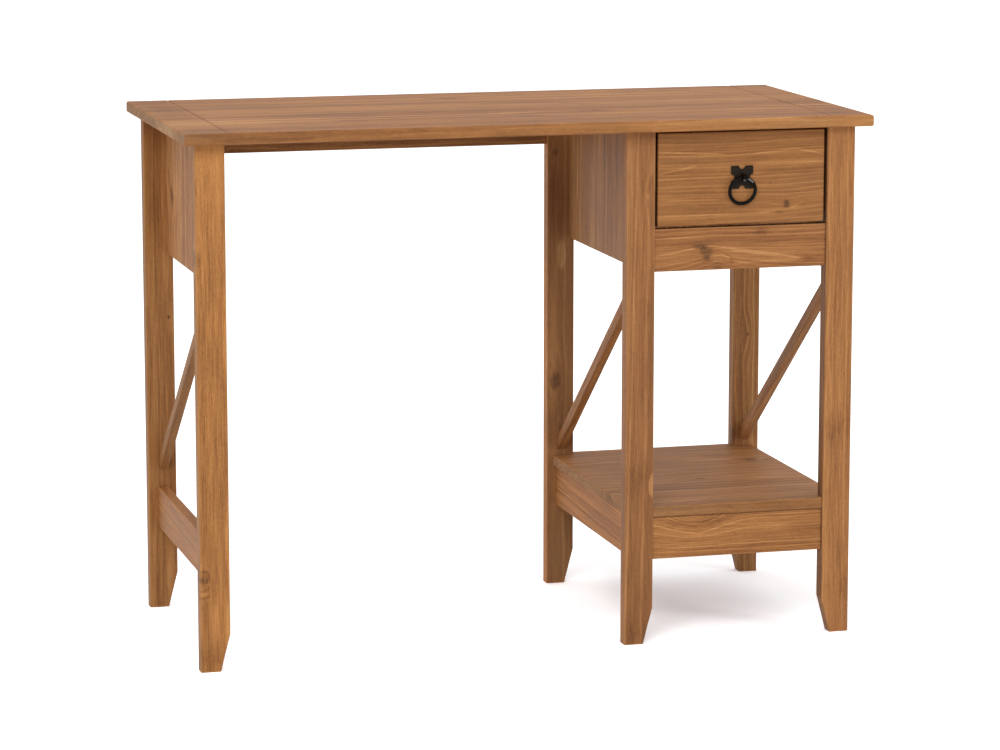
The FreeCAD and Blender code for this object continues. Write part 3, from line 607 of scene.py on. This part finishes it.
# Boards of the desk, each with the grain and marks of its own
brace_turn = math.radians(39.8)
boards = {
    # Top: the dark strokes along the two grooves are painted shade in them, and the paler, bluer tint of
    # its end faces is partly end grain and partly a painted sheen
    "top_panel": board(
        "xyz", (0.02, -0.16), 0.0075, (1.01, 0.94, 0.88), joints=(0.01, 0.167), bands=0.48,
        band_pitch=85.0, lines=0.56, fine=1.5, sides=(0.89, 0.92, 0.94), ends=(0.92, 1.14, 1.6),
        rubbed=0.06, knots=[knot(0.132, -0.057, 0.0035, 4.0, 0.5), knot(-0.028, 0.15, 0.007, 2.0, 0.4)],
        patches=[(-0.455, 0.1, 0.034, 0.125, -0.36), (-0.43, -0.085, 0.12, 0.07, 0.34),
                 (-0.44, -0.19, 0.05, 0.04, -0.12), (-0.35, 0.14, 0.08, 0.035, -0.16),
                 (0.3, 0.03, 0.14, 0.2, 0.09), (0.455, -0.13, 0.03, 0.095, -0.08),
                 (0.1, 0.205, 0.42, 0.03, 0.1),
                 (-0.28, -0.231, 0.42, 0.004, -0.14), (0.4, -0.231, 0.26, 0.004, 0.28)],
        strokes=[((-0.425, -0.2), (-0.425, 0.06), 0.0015, -0.26),
                 ((0.425, -0.06), (0.425, 0.2), 0.0015, -0.24)]),
    # Left front leg: the lighter patch near its top is painted light, and the thin dark line just under the
    # top is a painted shadow of the top's edge
    "left_front_leg": board(
        "zxy", (0.05, 0.06), 0.011, (1.11, 1.08, 0.96), lines=0.22, tones=0.24, fine=1.15,
        sides=(0.88, 0.91, 0.89),
        knots=[knot(0.131, -0.46, 0.007, 1.3, 0.1, 0.01, (0.034, 0.018)),
               knot(0.129, -0.4655, 0.0028, 1.3, 0.16, 0.0),
               knot(0.568, -0.466, 0.008, 1.4, 0.14, 0.008, (0.03, 0.016))],
        patches=[(0.69, -0.447, 0.04, 0.03, 0.12), (0.38, -0.447, 0.1, 0.03, -0.08),
                 (0.12, -0.44, 0.12, 0.03, 0.05), (0.7228, -0.447, 0.0013, 0.06, -0.3),
                 (0.127, -0.463, 0.0065, 0.0045, -0.22), (0.02, -0.455, 0.022, 0.03, -0.22)],
        strokes=[((0.1404, -0.468), (0.1412, -0.458), 0.0017, -0.26),
                 ((0.1412, -0.458), (0.1358, -0.4545), 0.0016, -0.24),
                 ((0.1358, -0.4545), (0.125, -0.459), 0.0018, -0.22),
                 ((0.1134, -0.468), (0.1143, -0.4584), 0.0018, -0.22),
                 ((0.1143, -0.4584), (0.1196, -0.4545), 0.0016, -0.18),
                 ((0.1039, -0.468), (0.1043, -0.4594), 0.0014, -0.26),
                 ((0.1043, -0.4594), (0.1074, -0.4545), 0.0014, -0.18),
                 ((0.109, -0.4671), (0.11, -0.456), 0.0014, 0.16)]),
    # Left rear leg: its darker tone is partly painted shade at the back under the top, and the two lighter
    # strips by the panel are painted light against the shade in that corner
    "left_rear_leg": board(
        "zxy", (-0.06, 0.05), 0.008, (0.78, 0.76, 0.7), knots=[knot(0.429, -0.434, 0.002, 1.2, 0.5)],
        lenses=[(0.52, -0.437, 0.055, 0.004, 0.14)],
        patches=[(0.64, -0.437, 0.11, 0.0085, 0.34), (0.065, -0.435, 0.06, 0.0085, 0.34)]),
    # Inner front leg: the thin dark line just under the top is a painted shadow of the top's edge
    "inner_front_leg": board(
        "zxy", (-0.055, 0.04), 0.013, (0.845, 0.825, 0.865), lean=-0.0233, lines=0.18, tones=0.26, fine=0.8,
        sides=(0.94, 0.92, 0.9), knots=[knot(0.633, 0.165, 0.0025, 1.6, -0.2)],
        patches=[(0.236, 0.152, 0.024, 0.026, -0.2), (0.1, 0.155, 0.09, 0.03, -0.04),
                 (0.015, 0.155, 0.02, 0.03, -0.14), (0.7228, 0.155, 0.0013, 0.06, -0.2)],
        lenses=[(0.227, 0.1765, 0.018, 0.008, 0.46)], streaks=[(0.1345, 0.0233, 0.0013, 0.26)]),
    # Inner rear leg: its darker tone is partly painted shade at the back under the top
    "inner_rear_leg": board(
        "zxy", (0.06, 0.05), 0.012, (0.7, 0.73, 0.8), lines=0.2, fine=0.65, sides=(1.75, 1.52, 1.12),
        knots=[knot(0.308, 0.147, 0.0075, 2.0, 0.36, 0.014, (0.05, 0.016)),
               knot(0.652, 0.146, 0.004, 1.3, 0.22)],
        patches=[(0.672, 0.152, 0.055, 0.03, 0.3), (0.36, 0.1425, 0.17, 0.0085, 0.24),
                 (0.242, 0.15, 0.035, 0.02, -0.24)],
        lenses=[(0.499, 0.1565, 0.023, 0.007, 0.34)]),
    # Right front leg: the dark side tint and the dark strip and streak along its left edge are painted
    # shade in the gap beside the drawer; the lighter patch under the top is painted light
    "right_front_leg": board(
        "zxy", (0.045, 0.07), 0.01, (1.05, 1.03, 1.04), tones=0.32, lines=0.24, sides=(0.7, 0.72, 0.77),
        patches=[(0.298, 0.447, 0.018, 0.03, -0.12), (0.28, 0.44, 0.022, 0.012, -0.08),
                 (0.066, 0.462, 0.022, 0.009, -0.2), (0.712, 0.447, 0.012, 0.03, 0.16),
                 (0.655, 0.4262, 0.085, 0.0014, -0.58)],
        streaks=[(0.4585, 0.0, 0.0015, 0.2), (0.4264, 0.0, 0.0012, -0.26)]),
    # Right rear leg: the dark patch where the brace meets it is a painted shadow of the brace's end
    "right_rear_leg": board(
        "zxy", (0.09, 0.05), 0.006, (0.92, 0.96, 1.0), bands=0.26, tones=0.22, fine=1.15,
        knots=[knot(0.367, 0.449, 0.002, 1.2, 0.4)], patches=[(0.214, 0.429, 0.014, 0.01, -0.3)]),
    # Side panels: the lighter strip along the upper part of the rear edge is painted light against the
    # shade by the rear leg and under the top
    "left_side_panel": board(
        "zyx", (0.2, 0.12), 0.01, (1.05, 1.05, 1.12), bands=0.12, band_pitch=60.0, fine=2.0,
        knots=[knot(0.607, 0.155, 0.009, 2.2, 0.24)], patches=[(0.62, 0.195, 0.2, 0.06, 0.3)],
        strokes=[((0.645, 0.184), (0.62, 0.168), 0.005, -0.22),
                 ((0.62, 0.168), (0.604, 0.14), 0.006, -0.42)]),
    "inner_side_panel": board(
        "zyx", (0.16, 0.1), 0.01, (1.0, 1.05, 1.12), bands=0.25, band_pitch=60.0, gloss=0.22, fine=1.4,
        patches=[(0.62, 0.195, 0.2, 0.05, 0.24), (0.62, -0.04, 0.2, 0.12, -0.06)]),
    "right_side_panel": board("zyx", (-0.18, 0.12), 0.01, (0.98, 0.97, 1.0), bands=0.4, band_pitch=60.0),
    "back_panel": board("zxy", (0.15, 0.12), 0.01, (0.95, 0.95, 1.0), bands=0.5, band_pitch=60.0),
    "back_rail": board("xzy", (0.12, 0.1), 0.007, (0.82, 0.85, 0.84)),
    # Drawer rail: its dark top and bottom faces are painted shade of the gap under the drawer, and the thin
    # dark line at its right end is painted shade at the joint with the leg
    "drawer_rail": board(
        "xzy", (-0.2, 0.05), 0.0036, (0.875, 0.83, 0.835), lines=0.34, bands=0.25, fine=0.8,
        sides=(0.36, 0.34, 0.34),
        knots=[knot(0.268, 0.531, 0.006, 1.4, 0.14, -0.03, (0.07, 0.026), crown=True),
               knot(0.251, 0.553, 0.0085, 1.2, 0.26, -0.004, (0.02, 0.014)),
               knot(0.243, 0.5605, 0.004, 3.0, 0.24, 0.0), knot(0.2525, 0.544, 0.0045, 1.0, 0.18, 0.0)],
        patches=[(0.33, 0.544, 0.05, 0.007, 0.14), (0.198, 0.54, 0.03, 0.008, 0.14),
                 (0.215, 0.572, 0.04, 0.007, 0.18), (0.332, 0.58, 0.01, 0.006, -0.26),
                 (0.403, 0.5375, 0.012, 0.004, -0.18), (0.426, 0.557, 0.0011, 0.06, -0.2)],
        strokes=[((0.2509, 0.5614), (0.2794, 0.5575), 0.0013, 0.34),
                 ((0.2794, 0.5575), (0.331, 0.5498), 0.0013, 0.36),
                 ((0.331, 0.5498), (0.3885, 0.54), 0.0014, 0.42),
                 ((0.289, 0.5535), (0.36, 0.5425), 0.001, 0.26),
                 ((0.291, 0.5352), (0.3885, 0.5388), 0.0014, 0.3),
                 ((0.176, 0.5485), (0.234, 0.5575), 0.0013, 0.28),
                 ((0.2539, 0.5441), (0.2743, 0.548), 0.0012, 0.26),
                 ((0.2743, 0.548), (0.286, 0.5425), 0.0012, 0.24),
                 ((0.2612, 0.5396), (0.276, 0.54), 0.0012, 0.24),
                 ((0.2772, 0.551), (0.289, 0.543), 0.0012, -0.16),
                 ((0.289, 0.543), (0.2885, 0.534), 0.0022, -0.16)]),
    # Shelf front rail: the dark line along its top is a painted shadow under the shelf's edge, and the thin
    # dark line at its right end is painted shade at the joint with the leg
    "shelf_front_rail": board(
        "xzy", (-0.2, 0.06), 0.004, (0.965, 0.925, 0.89), lean=0.02, lines=0.42, tones=0.28, bands=0.2,
        knots=[knot(0.24, 0.185, 0.008, 1.8, -0.1, 0.034, (0.045, 0.03))],
        patches=[(0.2, 0.131, 0.034, 0.01, 0.14), (0.262, 0.17, 0.02, 0.008, -0.14),
                 (0.301, 0.18, 0.4, 0.0013, -0.5), (0.426, 0.15, 0.0011, 0.06, -0.34)],
        strokes=[((0.176, 0.17), (0.208, 0.159), 0.0012, 0.2),
                 ((0.208, 0.159), (0.245, 0.153), 0.0012, 0.24),
                 ((0.245, 0.153), (0.278, 0.163), 0.0012, 0.24),
                 ((0.278, 0.163), (0.31, 0.171), 0.0012, 0.18),
                 ((0.2, 0.176), (0.236, 0.164), 0.0014, -0.18),
                 ((0.236, 0.164), (0.266, 0.176), 0.0014, -0.18)]),
    "shelf_back_rail": board("xzy", (-0.14, 0.06), 0.0085),
    "left_lower_rail": board(
        "yzx", (0.15, 0.05), 0.006, (0.97, 0.93, 0.89), lean=-0.04, lines=0.18, tones=0.18),
    "inner_lower_rail": board("yzx", (0.13, 0.06), 0.006, (1.05, 0.97, 0.86), lean=-0.05, lines=0.36),
    "right_lower_rail": board("yzx", (-0.14, 0.06), 0.006, lines=0.36),
    # Shelf: the dark rim line along its lower front edge is a painted shadow under its overhang, and the
    # paler, bluer tint of its end faces is partly end grain and partly a painted sheen
    "shelf": board(
        "xyz", (0.05, -0.2), 0.007, (1.0, 1.01, 1.06), joints=(-0.06, 0.14), lines=0.42, fine=1.15,
        sides=(0.94, 0.95, 0.93), ends=(0.88, 0.98, 1.24), rims=[(0.1806, 0.001, -0.45)],
        bands=0.55, band_pitch=70.0,
        knots=[knot(0.417, 0.083, 0.012, 0.7, 0.2), knot(0.3, -0.03, 0.004, 2.0, 0.3)],
        patches=[(0.377, 0.129, 0.02, 0.016, -0.2), (0.3, -0.2045, 0.3, 0.003, -0.06)]),
    "left_brace": board("yzx", (0.07, 0.05), 0.008, (0.8, 0.81, 0.75), turn=brace_turn),
    "inner_brace": board("yzx", (0.07, 0.04), 0.008, (0.9, 0.89, 0.89), turn=brace_turn),
    "right_brace": board("yzx", (0.06, 0.05), 0.008, (0.9, 0.9, 0.88), turn=brace_turn),
    # Drawer front: the dark ends and the dark lines along its left and bottom edges are painted shade of
    # the gap round the drawer; the lighter strip along its top is painted light, less shade under the top's
    # overhang
    "drawer_front": board(
        "xzy", (-0.34, 0.1), 0.0046, (0.88, 0.855, 0.82), lean=-0.016, lines=0.3, tones=0.22, sway=0.007,
        bands=0.22, fine=0.62, ends=(0.3, 0.28, 0.28), rubbed=0.0,
        knots=[knot(0.368, 0.6165, 0.005, 0.8, 0.34, 0.006, (0.026, 0.01)),
               knot(0.358, 0.605, 0.0028, 3.0, 0.18, 0.0), knot(0.343, 0.646, 0.0012, 1.2, 0.24, 0.0)],
        patches=[(0.3, 0.71, 0.13, 0.006, 0.12), (0.23, 0.66, 0.05, 0.06, -0.09),
                 (0.18, 0.655, 0.0012, 0.2, -0.16), (0.301, 0.5905, 0.4, 0.0017, -0.24)],
        strokes=[((0.181, 0.6935), (0.275, 0.688), 0.0012, 0.36),
                 ((0.323, 0.6885), (0.382, 0.693), 0.0012, 0.32),
                 ((0.382, 0.693), (0.421, 0.685), 0.0012, 0.32),
                 ((0.321, 0.6747), (0.422, 0.6751), 0.0016, 0.34),
                 ((0.181, 0.663), (0.236, 0.6731), 0.0014, 0.28),
                 ((0.186, 0.6052), (0.281, 0.6041), 0.0012, 0.24),
                 ((0.329, 0.606), (0.422, 0.6134), 0.0024, 0.26),
                 ((0.189, 0.626), (0.264, 0.6256), 0.0012, 0.26),
                 ((0.335, 0.6617), (0.409, 0.6608), 0.0022, -0.14),
                 ((0.3735, 0.6112), (0.3855, 0.6142), 0.0013, 0.34)]),
    # Drawer sides: their front ends are darkened to match the painted gap shade on the drawer front's ends
    "drawer_left_side": board("yzx", (0.12, 0.06), 0.008, stain=bare_pine, dipped=(-0.186, -0.183)),
    "drawer_right_side": board("yzx", (-0.14, 0.06), 0.008, stain=bare_pine, dipped=(-0.186, -0.183)),
    "drawer_back": board("xzy", (0.12, 0.06), 0.008, stain=bare_pine),
    "drawer_bottom": board("xyz", (0.1, -0.3), 0.012, (1.04, 1.03, 1.0), stain=bare_pine, ply=0.00166),
    "drawer_left_runner": board("yzx", (0.05, 0.05), 0.006, stain=bare_pine),
    "drawer_right_runner": board("yzx", (-0.05, 0.05), 0.006, stain=bare_pine),
    "left_cleat": board("yzx", (0.05, 0.04), 0.006),
    "inner_cleat": board("yzx", (0.04, 0.05), 0.006),
    "right_cleat": board("yzx", (-0.05, 0.05), 0.006, stain=bare_pine),
    "brace_dowels": board("yzx", (0.02, 0.02), 0.002, stain=raw_beech),
    "shelf_dowels": board("zxy", (0.02, 0.02), 0.002, stain=raw_beech),
}


# Steps that modelled pieces go through
def deselect_all():
    bpy.ops.object.select_all(action="DESELECT")


def in_edit(select="SELECT"):
    bpy.ops.object.mode_set(mode="EDIT")
    bpy.ops.mesh.select_all(action=select)


def out_of_edit():
    bpy.ops.object.mode_set(mode="OBJECT")


def settle(piece):
    """Put a new piece's place into its mesh."""
    bpy.ops.object.transform_apply(location=True, rotation=True, scale=True)
    return piece


def alone(piece):
    deselect_all()
    piece.select_set(True)
    bpy.context.view_layer.objects.active = piece


def applied(piece, kind, **settings):
    """Add a modifier with its settings and apply it."""
    alone(piece)
    modifier = piece.modifiers.new(kind.lower(), kind)
    for setting, value in settings.items():
        setattr(modifier, setting, value)
    bpy.ops.object.modifier_apply(modifier=modifier.name)


def cut_or_join(piece, other, operation):
    applied(piece, "BOOLEAN", object=other, operation=operation, solver="EXACT")
    bpy.data.objects.remove(other)


def hammer(piece, name, size, depth):
    """Uneven forged surface."""
    blows = bpy.data.textures.new(name, "CLOUDS")
    blows.noise_scale = size
    applied(piece, "DISPLACE", texture=blows, texture_coords="LOCAL", strength=depth, mid_level=0.5)
    bpy.ops.object.shade_smooth()


def smooth_below(piece, degrees):
    """Shade a piece smoothly, apart from edges that turn by more than an angle."""
    alone(piece)
    bpy.ops.object.shade_smooth_by_angle(angle=math.radians(degrees))


def dress(piece, material):
    piece.data.materials.clear()
    piece.data.materials.append(material)


def fit_piece(piece, name, body, nodes, material):
    piece.name = name
    piece.data.name = name
    dress(piece, material)
    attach(piece, body)
    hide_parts(*nodes)


def spun(centre, axis, steps):
    """Turn the outline in hand right round an axis into a closed loop."""
    in_edit()
    bpy.ops.mesh.spin(steps=steps, angle=2 * math.pi, center=centre, axis=axis)
    bpy.ops.mesh.select_all(action="SELECT")
    bpy.ops.mesh.remove_doubles(threshold=weld_distance)
    bpy.ops.mesh.normals_make_consistent(inside=False)
    out_of_edit()


def turned(stations, sides):
    """Round piece along +Z, extruded step by step from a disc: each step is a height and a radius."""
    height, radius = stations[0]
    deselect_all()
    bpy.ops.mesh.primitive_circle_add(vertices=sides, radius=radius, fill_type="NGON",
                                      location=(0, 0, height))
    piece = settle(bpy.context.object)
    in_edit()
    for next_height, next_radius in stations[1:]:
        bpy.ops.mesh.extrude_region_move(TRANSFORM_OT_translate={"value": (0, 0, next_height - height)})
        grow = next_radius / radius
        bpy.ops.transform.resize(value=(grow, grow, 1), center_override=(0, 0, next_height))
        height, radius = next_height, next_radius
    bpy.ops.mesh.select_all(action="SELECT")
    bpy.ops.mesh.normals_make_consistent(inside=False)
    out_of_edit()
    return piece


def stood(piece, foot, direction):
    """Turn a piece made along +Z to point in a direction from its foot."""
    alone(piece)
    piece.rotation_euler = direction.to_track_quat("Z", "Y").to_euler()
    piece.location = foot
    return settle(piece)


def behind_eye(piece, depth):
    """Stand a piece behind the eye, from a depth towards the back of the drawer."""
    return stood(piece, Vector((eye_middle.x, depth, eye_middle.z)), Vector((0, 1, 0)))


# Ring handle, forged and hammered, with its washer and nut
def forge_ring(iron):
    deselect_all()
    bpy.ops.mesh.primitive_circle_add(vertices=20, radius=ring_wire, rotation=(0, math.pi / 2, 0),
                                      location=ring_centre + ring_down * ring_radius)
    ring = settle(bpy.context.object)
    spun(ring_centre, -ring_ahead, steps=96)
    hammer(ring, "ring_blows", ring_blow, ring_blow_depth)
    fit_piece(ring, "forged_ring", "ring", ["handle_ring"], iron)


def forge_eye(iron):
    """Strap bent round into an eye, on a pin with a collar and a long shank."""
    deselect_all()
    bpy.ops.mesh.primitive_plane_add(size=1, location=eye_middle - Vector((0, eye_radius, 0)))
    strap = bpy.context.object
    strap.scale = (eye_width, eye_thickness, 1)
    settle(strap)
    in_edit()
    bpy.ops.mesh.bevel(offset=strap_rounding, segments=4, affect="VERTICES")
    bpy.ops.mesh.delete(type="ONLY_FACE")
    out_of_edit()
    spun(eye_middle, (1, 0, 0), steps=64)
    inside = eye_middle.y + eye_radius
    shank = shank_end - inside
    collar = plate_face - inside
    collar_start = collar - collar_height
    pin = turned([(-neck_overlap, neck_root), (collar_start, neck_waist),
                  (collar_start + collar_step, collar_shoulder),
                  (collar_start + 2 * collar_step, collar_radius), (collar, collar_radius),
                  (collar, shank_radius), (shank - shank_chamfer, shank_radius), (shank, shank_tip)],
                 sides=32)
    cut_or_join(strap, behind_eye(pin, inside), "UNION")
    smooth_below(strap, degrees=40)
    fit_piece(strap, "forged_eye", "drawer", ["handle_eye"], iron)


def forge_plate(iron):
    """Square plate with a round notch in the middle of each edge, and a hole for the eye."""
    middle = Vector((eye_middle.x, (plate_face + plate_back) / 2, eye_middle.z))
    deselect_all()
    bpy.ops.mesh.primitive_cube_add(size=1, location=middle)
    plate = bpy.context.object
    plate.scale = (plate_size, plate_back - plate_face, plate_size)
    settle(plate)
    half = plate_size / 2
    holes = [(-half, 0, notch_radius), (half, 0, notch_radius), (0, -half, notch_radius),
             (0, half, notch_radius), (0, 0, plate_hole)]
    for along, up, radius in holes:
        deselect_all()
        bpy.ops.mesh.primitive_cylinder_add(vertices=48, radius=radius, depth=cutter_length,
                                            location=middle + Vector((along, 0, up)),
                                            rotation=(math.pi / 2, 0, 0))
        cut_or_join(plate, settle(bpy.context.object), "DIFFERENCE")
    applied(plate, "REMESH", mode="VOXEL", voxel_size=plate_voxel)
    applied(plate, "SMOOTH", factor=0.5, iterations=4)
    hammer(plate, "plate_blows", plate_blow, plate_blow_depth)
    fit_piece(plate, "forged_backplate", "drawer", ["handle_backplate"], iron)


def bore(piece, height):
    """Hole for the eye's shank through a nut or a washer."""
    radius = shank_radius + shank_play
    hole = turned([(-cut_overrun, radius), (height + cut_overrun, radius)], sides=32)
    cut_or_join(piece, hole, "DIFFERENCE")


def punched_washer(steel):
    """Washer with one rounded rim and one sharp one, as a punch leaves it."""
    low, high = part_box("handle_washer")
    height = high.y - low.y
    rim = (high.x - low.x) / 2
    corner = washer_corner_share * washer_rounding
    washer = turned([(0, rim), (height - washer_rounding, rim), (height - corner, rim - corner),
                     (height, rim - washer_rounding)], sides=48)
    bore(washer, height)
    behind_eye(washer, low.y)
    smooth_below(washer, degrees=30)
    fit_piece(washer, "punched_washer", "drawer", ["handle_washer"], steel)


def hex_nut(steel):
    """Nut with its corners turned off at both ends."""
    low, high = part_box("handle_nut")
    height = high.y - low.y
    corner = max(high.x - low.x, high.z - low.z) / 2
    deselect_all()
    bpy.ops.mesh.primitive_cylinder_add(vertices=6, radius=corner, depth=height,
                                        location=(0, 0, height / 2))
    nut = settle(bpy.context.object)
    flat = corner * math.cos(math.pi / 6)
    chamfer = (corner - flat) * nut_chamfer_share
    barrel = turned([(0, flat), (chamfer, corner), (height - chamfer, corner), (height, flat)], sides=48)
    cut_or_join(nut, barrel, "INTERSECT")
    bore(nut, height)
    if high.x - low.x < high.z - low.z:
        nut.rotation_euler.z = math.pi / 6
        alone(nut)
        settle(nut)
    behind_eye(nut, low.y)
    applied(nut, "BEVEL", width=nut_edge, segments=2, limit_method="ANGLE")
    smooth_below(nut, degrees=30)
    fit_piece(nut, "hex_nut", "drawer", ["handle_nut"], steel)


# Wood screws, countersunk, with a cross recess
def pick_points(piece, test):
    """Select the points of a piece whose place passes a test."""
    in_edit("DESELECT")
    bpy.ops.mesh.select_mode(type="VERT")
    out_of_edit()
    for point in piece.data.vertices:
        point.select = test(point.co)
    bpy.ops.object.mode_set(mode="EDIT")


def cross_recess(screw):
    """Two crossed slots in a screw's head, narrower at the bottom."""
    for turn in (0, math.pi / 2):
        deselect_all()
        bpy.ops.mesh.primitive_cube_add(size=1, location=(0, 0, recess_depth / 2 - recess_proud))
        wing = bpy.context.object
        wing.scale = (recess_length, recess_width, recess_depth)
        wing.rotation_euler.z = turn
        settle(wing)
        pick_points(wing, lambda place: place.z > recess_depth / 2)
        bpy.ops.transform.resize(value=(recess_foot_share, recess_foot_share, 1),
                                 center_override=(0, 0, recess_depth))
        out_of_edit()
        cut_or_join(screw, wing, "DIFFERENCE")


def wood_screw(length):
    """Screw along +Z with its head's face at the origin."""
    thread_start = thread_start_share * length
    stations = [(0, screw_head - screw_head_edge), (screw_head_edge, screw_head),
                (screw_head_depth, screw_shank), (thread_start, screw_shank)]
    turns = int((length - screw_tip - thread_start) / screw_pitch)
    for turn in range(turns):
        foot = thread_start + turn * screw_pitch
        for share, radius in zip(thread_shares, (screw_core, screw_core, screw_shank)):
            stations.append((foot + share * screw_pitch, radius))
    stations += [(length - screw_tip, screw_core), (length, screw_point)]
    screw = turned(stations, sides=20)
    cross_recess(screw)
    smooth_below(screw, degrees=35)
    return screw


def cleat_screw_places():
    """Heads, directions and lengths: up into the top, and sideways into the panels."""
    for cleat, into in (("left_cleat", -1), ("inner_cleat", -1), ("right_cleat", 1)):
        low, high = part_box(cleat)
        middle, length = (low + high) / 2, high.y - low.y
        face = high.x if into < 0 else low.x
        for sign in (-1, 1):
            head = Vector((middle.x, middle.y + sign * cleat_up_share * length, low.z))
            yield head, Vector((0, 0, 1)), cleat_screw_up
            head = Vector((face, middle.y + sign * cleat_aside_share * length, middle.z))
            yield head, Vector((into, 0, 0)), cleat_screw_aside


def runner_screw_places():
    for runner, into in (("drawer_left_runner", -1), ("drawer_right_runner", 1)):
        low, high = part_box(runner)
        middle, length = (low + high) / 2, high.y - low.y
        face = high.x if into < 0 else low.x
        for share in runner_shares:
            yield Vector((face, middle.y + share * length, middle.z)), Vector((into, 0, 0)), runner_screw


def bottom_screw_places():
    low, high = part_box("drawer_bottom_screws")
    middle = (low + high) / 2
    for x in (low.x + screw_head, middle.x, high.x - screw_head):
        yield Vector((x, middle.y, low.z)), Vector((0, 0, 1)), bottom_screw


def drive_screws(node, name, body, places, steel):
    """One screw of each length, copied to every place, then joined as one set."""
    patterns, screws = {}, []
    for head, direction, length in places:
        if length not in patterns:
            patterns[length] = wood_screw(length)
        screw = patterns[length].copy()
        screw.data = patterns[length].data.copy()
        bpy.context.scene.collection.objects.link(screw)
        screws.append(stood(screw, head, direction))
    for pattern in patterns.values():
        bpy.data.objects.remove(pattern)
    alone(screws[0])
    for screw in screws:
        screw.select_set(True)
    bpy.ops.object.join()
    fit_piece(screws[0], name, body, [node], steel)


# Finishes, and the pieces that take them
def finish_boards():
    for seed, (node, wood) in enumerate(boards.items(), 1):
        dress(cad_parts[node], pine("pine_" + node, node, wood, seed))


def painted_glint_place(turn):
    """Place of a painted highlight on the front of the ring's wire, at a turn from the right hand side."""
    out = Vector((math.cos(turn), 0, 0)) - ring_down * math.sin(turn)
    return ring_centre + out * ring_radius + ring_ahead * ring_wire


def fit_handle():
    painted_ring_glints = [(painted_glint_place(turn), painted_glint_reach) for turn in painted_glint_turns]
    irons = {"handle_backplate": black_iron("black_iron_plate", iron_charcoal, ()),
             "handle_ring": black_iron("black_iron_ring", iron_black, painted_ring_glints),
             "handle_eye": black_iron("black_iron_eye", iron_black,
                                      [(eye_middle + painted_eye_glint, painted_eye_glint_reach)])}
    for node, iron in irons.items():
        dress(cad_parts[node], iron)
    forge_ring(irons["handle_ring"])
    forge_eye(irons["handle_eye"])
    forge_plate(irons["handle_backplate"])


def fit_steel():
    steel = zinc_steel()
    for node in ("handle_washer", "handle_nut", "cleat_screws", "runner_screws", "drawer_bottom_screws"):
        dress(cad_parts[node], steel)
    punched_washer(steel)
    hex_nut(steel)
    drive_screws("cleat_screws", "cross_head_cleat_screws", "desk", cleat_screw_places(), steel)
    drive_screws("runner_screws", "cross_head_runner_screws", "desk", runner_screw_places(), steel)
    drive_screws("drawer_bottom_screws", "cross_head_bottom_screws", "drawer", bottom_screw_places(), steel)


# Floor, light and camera
def seen_or_mirrored(nodes, links):
    """1 for what the camera sees straight, in a reflection or through glass."""
    path = nodes.new("ShaderNodeLightPath")
    total = path.outputs["Is Camera Ray"]
    for way in ("Is Glossy Ray", "Is Transmission Ray"):
        either = nodes.new("ShaderNodeMath")
        either.operation = "MAXIMUM"
        links.new(total, either.inputs[0])
        links.new(path.outputs[way], either.inputs[1])
        total = either.outputs[0]
    return total


def lay_floor():
    deselect_all()
    bpy.ops.mesh.primitive_plane_add(size=floor_size)
    floor = bpy.context.object
    floor.name = "floor"
    coat = Finish("floor_white")
    coat.give("Roughness", floor_roughness)
    coat.give("Specular IOR Level", 0.0)
    coat.give("Emission Color", floor_glow)
    seen = seen_or_mirrored(coat.tree.nodes, coat.tree.links)
    coat.give("Base Color", coat.plus((seen, floor_seen_lift), floor_white))
    coat.give("Emission Strength", coat.times(seen, floor_glow_strength))
    floor.data.materials.append(coat.material)


def light_studio():
    world = bpy.data.worlds.new("studio")
    bpy.context.scene.world = world
    world.use_nodes = True
    nodes, links = world.node_tree.nodes, world.node_tree.links
    background = nodes["Background"]
    background.inputs["Color"].default_value = (1, 1, 1, 1)
    level = nodes.new("ShaderNodeMapRange")
    links.new(seen_or_mirrored(nodes, links), level.inputs["Value"])
    level.inputs["To Min"].default_value = world_strength
    level.inputs["To Max"].default_value = 1.0
    links.new(level.outputs["Result"], background.inputs["Strength"])
    desk_middle = (cad_low + cad_high) / 2
    for name, (place, size, power) in lamps.items():
        lamp = bpy.data.lights.new(name, "AREA")
        lamp.size = size
        lamp.energy = power
        holder = bpy.data.objects.new(name, lamp)
        holder.location = place
        holder.rotation_euler = (desk_middle - holder.location).to_track_quat("-Z", "Y").to_euler()
        bpy.context.scene.collection.objects.link(holder)


def set_camera():
    data = bpy.data.cameras.new("camera")
    data.sensor_width = camera_sensor
    data.lens = camera_lens
    holder = bpy.data.objects.new("camera", data)
    holder.location = camera_place
    holder.rotation_euler = camera_turn
    bpy.context.scene.collection.objects.link(holder)
    bpy.context.scene.camera = holder


finish_boards()
fit_handle()
fit_steel()
lay_floor()
light_studio()
set_camera()
bpy.context.scene.view_settings.view_transform = "Standard"
